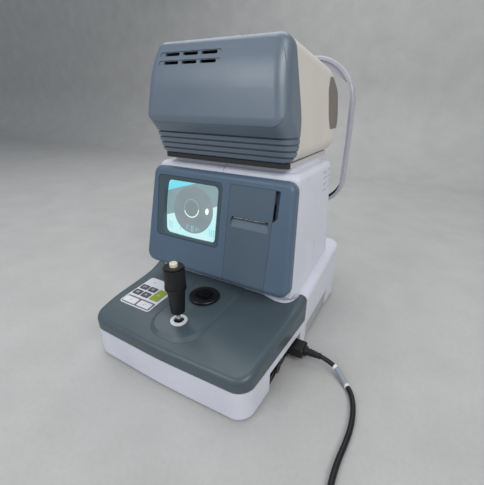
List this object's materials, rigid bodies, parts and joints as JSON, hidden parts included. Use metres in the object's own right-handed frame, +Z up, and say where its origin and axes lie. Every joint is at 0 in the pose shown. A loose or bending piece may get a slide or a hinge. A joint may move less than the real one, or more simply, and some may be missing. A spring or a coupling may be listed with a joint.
{
  "type": "auto ref-keratometer",
  "caption": "Table-top auto ref-keratometer with a sliding body, joystick, keypad, display, ticket printer, measuring head and patient headrest.",
  "frame": {"origin": "on the table under the middle of the footprint, at the bottom of the feet", "axes": "+X to the operator's right, +Y from the operator to the patient, +Z up"},
  "size_m": [0.4038, 0.6336, 0.447],
  "materials": {
    "base_white": "fine matt paint, slightly lavender white",
    "zinc_plate": "zinc plated sheet",
    "foot_rubber": "matt black rubber",
    "black_plastic": "black moulded plastic",
    "satin_plate": "blank satin plate",
    "rail_steel": "ground steel",
    "slide_plate": "dark low-friction sheet",
    "headrest_paint": "satin grey paint",
    "pad_rubber": "soft black foam rubber",
    "lead_black": "moulded black vinyl",
    "rocker_black": "glossy black",
    "chin_white": "smooth white",
    "carriage_aluminium": "machined",
    "deck_grey": "fine leather grain, dark blue grey",
    "white_plastic": "smooth white",
    "keypad_film": "printed film",
    "body_white": "slightly lavender white, fine grain",
    "bezel_blue": "blue grey, fine grain",
    "ring_grey": "dark blue grey, fine grain",
    "screen_glass": "polished glass, lit",
    "tube_glass": "coated dark glass",
    "board_green": "lacquered circuit board",
    "motor_black": "black enamel",
    "knob_black": "satin black",
    "door_blue": "blue grey, fine grain",
    "paper_white": "thermal paper",
    "button_cream": "smooth cream",
    "head_grey": "blue grey, fine grain",
    "head_beige": "warm off-white, fine grain",
    "patient_grey": "grey brown, fine grain",
    "base_black": "black paint",
    "hood_black": "matt black",
    "lens_glass": "coated glass",
    "mire_white": "translucent white",
    "key_white": "satin white",
    "key_grey": "satin dark grey",
    "key_green": "satin green"
  },
  "bodies": {
    "base": {"base_shell": "base_white", "base_plate": "zinc_plate", "rubber_feet": "foot_rubber", "inlet_panel": "black_plastic", "power_inlet": "black_plastic", "rating_plate": "satin_plate", "power_supply": "zinc_plate", "y_rails": "rail_steel", "friction_plate": "slide_plate", "headrest_column": "headrest_paint", "headrest_loop": "headrest_paint", "forehead_pad": "pad_rubber", "cord_connector": "lead_black", "power_cord": "lead_black", "cord_coil": "lead_black", "mains_plug": "lead_black"},
    "rocker": {"power_rocker": "rocker_black"},
    "chin": {"chin_rest": "chin_white"},
    "chin_dial": {"chin_knob": "black_plastic"},
    "carriage": {"carriage_frame": "carriage_aluminium"},
    "main_body": {"body_chassis": "carriage_aluminium", "deck_cover": "deck_grey", "joystick_collar": "white_plastic", "keypad_plate": "keypad_film", "body_cover": "body_white", "display_bezel": "bezel_blue", "screen_hood": "ring_grey", "crt_face": "screen_glass", "crt_funnel": "tube_glass", "printer_bucket": "black_plastic", "main_board": "board_green", "lift_motor": "motor_black"},
    "lock": {"lock_knob": "knob_black"},
    "door": {"printer_door": "door_blue"},
    "platen": {"platen_roller": "pad_rubber"},
    "roll": {"paper_roll": "paper_white"},
    "gimbal": {"gimbal_ring": "carriage_aluminium"},
    "joystick": {"joystick_shaft": "rail_steel", "joystick_grip": "knob_black"},
    "height_dial": {"height_ring": "knob_black"},
    "measure_key": {"measure_button": "button_cream"},
    "lift_drive": {"lift_screw": "rail_steel"},
    "head": {"head_front_cover": "head_grey", "head_shell": "head_beige", "patient_panel": "patient_grey", "head_base": "base_black", "neck_sleeve": "hood_black", "optical_bench": "carriage_aluminium", "measuring_camera": "motor_black", "optics_glass": "lens_glass", "mire_ring": "mire_white"},
    "key_print_body": {"key_print": "key_white"},
    "key_menu_body": {"key_menu": "key_white"},
    "key_mode_body": {"key_mode": "key_grey"},
    "key_up_body": {"key_up": "key_grey"},
    "key_target_body": {"key_target": "key_grey"},
    "key_down_body": {"key_down": "key_grey"},
    "key_start_body": {"key_start": "key_green"}
  },
  "joints": [
    {"name": "power_switch", "type": "hinge", "parent": "base", "child": "rocker", "pos_m": [0.131, -0.117, 0.0185], "axis": [0, 1, 0], "range_deg": [0, 12]},
    {"name": "chin_lift", "type": "slide", "parent": "base", "child": "chin", "axis": [0, 0, 1], "range_m": [-0.03, 0.03]},
    {"name": "chin_turn", "type": "hinge", "parent": "base", "child": "chin_dial", "pos_m": [0, 0.225, 0.118], "axis": [0, 1, 0], "range_deg": [-1100, 1100]},
    {"name": "stage_y", "type": "slide", "parent": "base", "child": "carriage", "axis": [0, 1, 0], "range_m": [-0.02, 0.02]},
    {"name": "stage_x", "type": "slide", "parent": "carriage", "child": "main_body", "axis": [1, 0, 0], "range_m": [-0.042, 0.042]},
    {"name": "lock_turn", "type": "hinge", "parent": "main_body", "child": "lock", "pos_m": [0, -0.121, 0.085], "axis": [0, 0, 1], "range_deg": [0, 90]},
    {"name": "door_open", "type": "hinge", "parent": "main_body", "child": "door", "pos_m": [0.06, -0.10518, 0.11682], "axis": [1, 0, 0], "range_deg": [0, 60]},
    {"name": "platen_spin", "type": "hinge", "parent": "door", "child": "platen", "pos_m": [0.06, -0.0777, 0.21027], "axis": [1, 0, 0], "continuous": true},
    {"name": "roll_spin", "type": "hinge", "parent": "main_body", "child": "roll", "pos_m": [0.06, -0.05995, 0.15578], "axis": [1, 0, 0], "continuous": true},
    {"name": "joystick_fore", "type": "hinge", "parent": "main_body", "child": "gimbal", "pos_m": [0, -0.183, 0.066], "axis": [1, 0, 0], "range_deg": [-10, 10]},
    {"name": "joystick_side", "type": "hinge", "parent": "gimbal", "child": "joystick", "pos_m": [0, -0.183, 0.066], "axis": [0, 1, 0], "range_deg": [-10, 10]},
    {"name": "height_turn", "type": "hinge", "parent": "joystick", "child": "height_dial", "pos_m": [0, -0.183, 0.152], "axis": [0, 0, 1], "range_deg": [0, 1085]},
    {"name": "measure_press", "type": "slide", "parent": "joystick", "child": "measure_key", "axis": [0, 0, -1], "range_m": [0, 0.0015], "stiffness_N_per_m": 400, "springref_m": -0.0006},
    {"name": "head_lift", "type": "slide", "parent": "main_body", "child": "head", "axis": [0, 0, 1], "range_m": [0, 0.03]},
    {"name": "screw_turn", "type": "hinge", "parent": "main_body", "child": "lift_drive", "pos_m": [0, 0.07, 0.2], "axis": [0, 0, 1], "range_deg": [0, 2170]},
    {"name": "key_print_press", "type": "slide", "parent": "main_body", "child": "key_print_body", "axis": [0, 0, -1], "range_m": [0, 0.0012], "stiffness_N_per_m": 400, "springref_m": -0.0006},
    {"name": "key_menu_press", "type": "slide", "parent": "main_body", "child": "key_menu_body", "axis": [0, 0, -1], "range_m": [0, 0.0012], "stiffness_N_per_m": 400, "springref_m": -0.0006},
    {"name": "key_mode_press", "type": "slide", "parent": "main_body", "child": "key_mode_body", "axis": [0, 0, -1], "range_m": [0, 0.0012], "stiffness_N_per_m": 400, "springref_m": -0.0006},
    {"name": "key_up_press", "type": "slide", "parent": "main_body", "child": "key_up_body", "axis": [0, 0, -1], "range_m": [0, 0.0012], "stiffness_N_per_m": 400, "springref_m": -0.0006},
    {"name": "key_target_press", "type": "slide", "parent": "main_body", "child": "key_target_body", "axis": [0, 0, -1], "range_m": [0, 0.0012], "stiffness_N_per_m": 400, "springref_m": -0.0006},
    {"name": "key_down_press", "type": "slide", "parent": "main_body", "child": "key_down_body", "axis": [0, 0, -1], "range_m": [0, 0.0012], "stiffness_N_per_m": 400, "springref_m": -0.0006},
    {"name": "key_start_press", "type": "slide", "parent": "main_body", "child": "key_start_body", "axis": [0, 0, -1], "range_m": [0, 0.0012], "stiffness_N_per_m": 400, "springref_m": -0.0006}
  ],
  "couplings": [
    {"joint": "chin_turn", "follows": "chin_lift", "rad_per_m": 628.32},
    {"joint": "platen_spin", "follows": "roll_spin", "ratio": 4},
    {"joint": "height_turn", "follows": "head_lift", "rad_per_m": 628.32},
    {"joint": "screw_turn", "follows": "head_lift", "rad_per_m": 1256.6}
  ]
}
